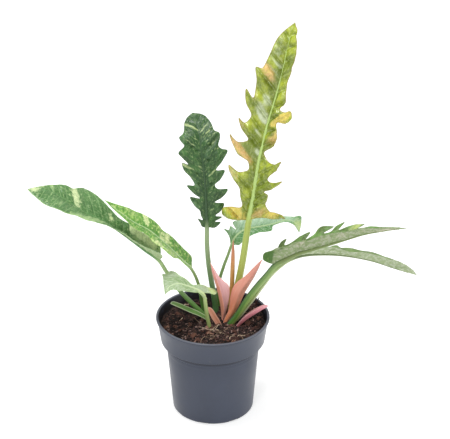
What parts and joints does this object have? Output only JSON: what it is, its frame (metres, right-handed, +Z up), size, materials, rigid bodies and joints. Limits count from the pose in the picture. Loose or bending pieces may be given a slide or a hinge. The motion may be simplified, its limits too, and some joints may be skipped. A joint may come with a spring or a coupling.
{
  "type": "potted philodendron",
  "caption": "Young foliage plant with long, lobed, cream-marked leaves and pink leaf sheaths, rooted in a round plastic nursery pot.",
  "frame": {"origin": "middle of the pot's flat foot, on the surface it stands on", "axes": "+Z up; +X to the side the two long pale leaves lean to; -Y the side the plant is shown from"},
  "size_m": [0.4692, 0.1568, 0.4932],
  "materials": {
    "pot_plastic": "satin slate grey",
    "soil": "dark, damp, crumbly potting soil",
    "crown": "dull brown stock and roots",
    "leaf_young": "glossy yellow-green with orange margins",
    "leaf_green": "glossy dark green with cream flecks",
    "leaf_pale": "satin pale grey-green",
    "sheath_pink": "satin salmon pink",
    "sheath_green": "satin green with pale edges"
  },
  "bodies": {
    "root": {"pot": "pot_plastic", "soil": "soil", "crown": "crown", "leaf_tall_young": "leaf_young", "leaf_upright_dark": "leaf_green", "leaf_long_left": "leaf_green", "leaf_short_left": "leaf_green", "leaf_small_front": "leaf_pale", "leaf_small_back": "leaf_green", "leaf_long_right": "leaf_pale", "leaf_drooping_right": "leaf_pale", "sheath_left": "sheath_pink", "sheath_thin": "sheath_pink", "sheath_broad": "sheath_pink", "sheath_short": "sheath_pink", "sheath_low_right": "sheath_pink", "sheath_green": "sheath_green"}
  },
  "joints": []
}
